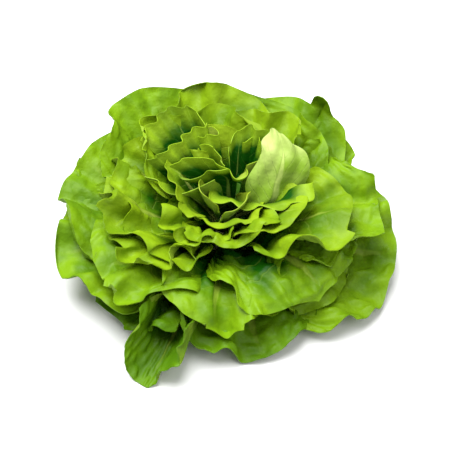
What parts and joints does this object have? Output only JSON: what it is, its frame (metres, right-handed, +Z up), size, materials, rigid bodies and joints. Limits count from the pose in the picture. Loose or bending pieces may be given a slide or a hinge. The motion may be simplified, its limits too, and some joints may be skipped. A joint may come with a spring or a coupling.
{
  "type": "butterhead lettuce",
  "caption": "Open head of butterhead lettuce, cut at the stem: broad waved green leaves in a spiral, upright and pale at the heart, wide and spread at the outside.",
  "frame": {"origin": "middle of the stem's flat cut face, on the surface that the head stands on", "axes": "+Z up along the stem; +X to the right and +Y away from the viewer in the picture"},
  "size_m": [0.2695, 0.2629, 0.107],
  "materials": {
    "stem": "satin",
    "heart_leaf": "satin",
    "inner_leaf": "satin",
    "middle_leaf": "satin",
    "outer_leaf": "satin"
  },
  "bodies": {
    "root": {"stem": "stem", "leaf_01": "heart_leaf", "leaf_02": "heart_leaf", "leaf_03": "inner_leaf", "leaf_04": "inner_leaf", "leaf_05": "inner_leaf", "leaf_06": "inner_leaf", "leaf_07": "inner_leaf", "leaf_08": "middle_leaf", "leaf_09": "middle_leaf", "leaf_10": "middle_leaf", "leaf_11": "middle_leaf", "leaf_12": "middle_leaf", "leaf_13": "middle_leaf", "leaf_14": "middle_leaf", "leaf_15": "middle_leaf", "leaf_16": "middle_leaf", "leaf_17": "outer_leaf", "leaf_18": "outer_leaf", "leaf_19": "outer_leaf", "leaf_20": "outer_leaf", "leaf_21": "outer_leaf", "leaf_22": "outer_leaf", "leaf_23": "outer_leaf", "leaf_24": "outer_leaf", "leaf_25": "outer_leaf", "leaf_26": "outer_leaf", "leaf_27": "outer_leaf", "leaf_28": "outer_leaf", "leaf_29": "outer_leaf", "leaf_30": "outer_leaf", "leaf_31": "outer_leaf", "leaf_32": "outer_leaf", "leaf_33": "outer_leaf", "leaf_34": "outer_leaf", "leaf_35": "outer_leaf"}
  },
  "joints": []
}
